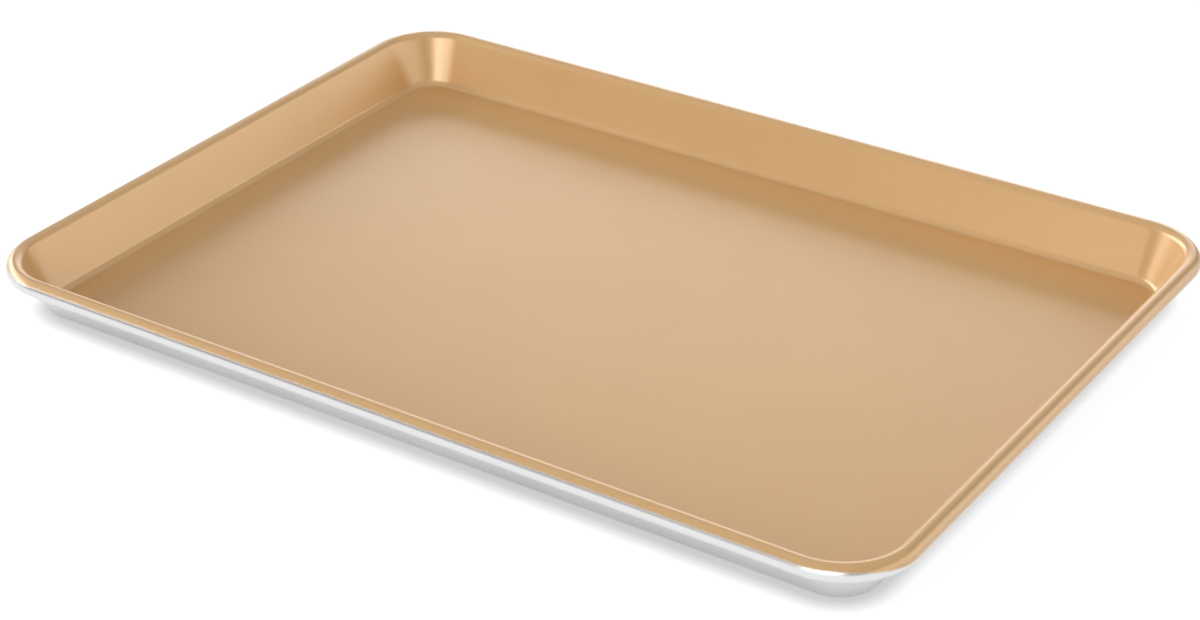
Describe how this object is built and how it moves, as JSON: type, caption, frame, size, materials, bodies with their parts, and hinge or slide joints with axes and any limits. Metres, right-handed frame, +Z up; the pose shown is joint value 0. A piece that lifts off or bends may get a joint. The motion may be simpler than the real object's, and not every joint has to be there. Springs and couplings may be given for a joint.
{
  "type": "cookie sheet",
  "caption": "Shallow rectangular baking pan with rounded corners, leaning walls and a rim rolled round a wire, gold nonstick inside and bare aluminium outside.",
  "frame": {"origin": "middle of the pan's underside, on the surface it rests on", "axes": "+X along the long sides, +Y along the short sides, +Z up out of the open tray"},
  "size_m": [0.454, 0.327, 0.0255],
  "materials": {
    "bare_aluminium": "satin",
    "galvanised_wire": "satin",
    "gold_nonstick": "satin"
  },
  "bodies": {
    "root": {"pan_body": "bare_aluminium", "rim_wire": "galvanised_wire"}
  },
  "joints": []
}
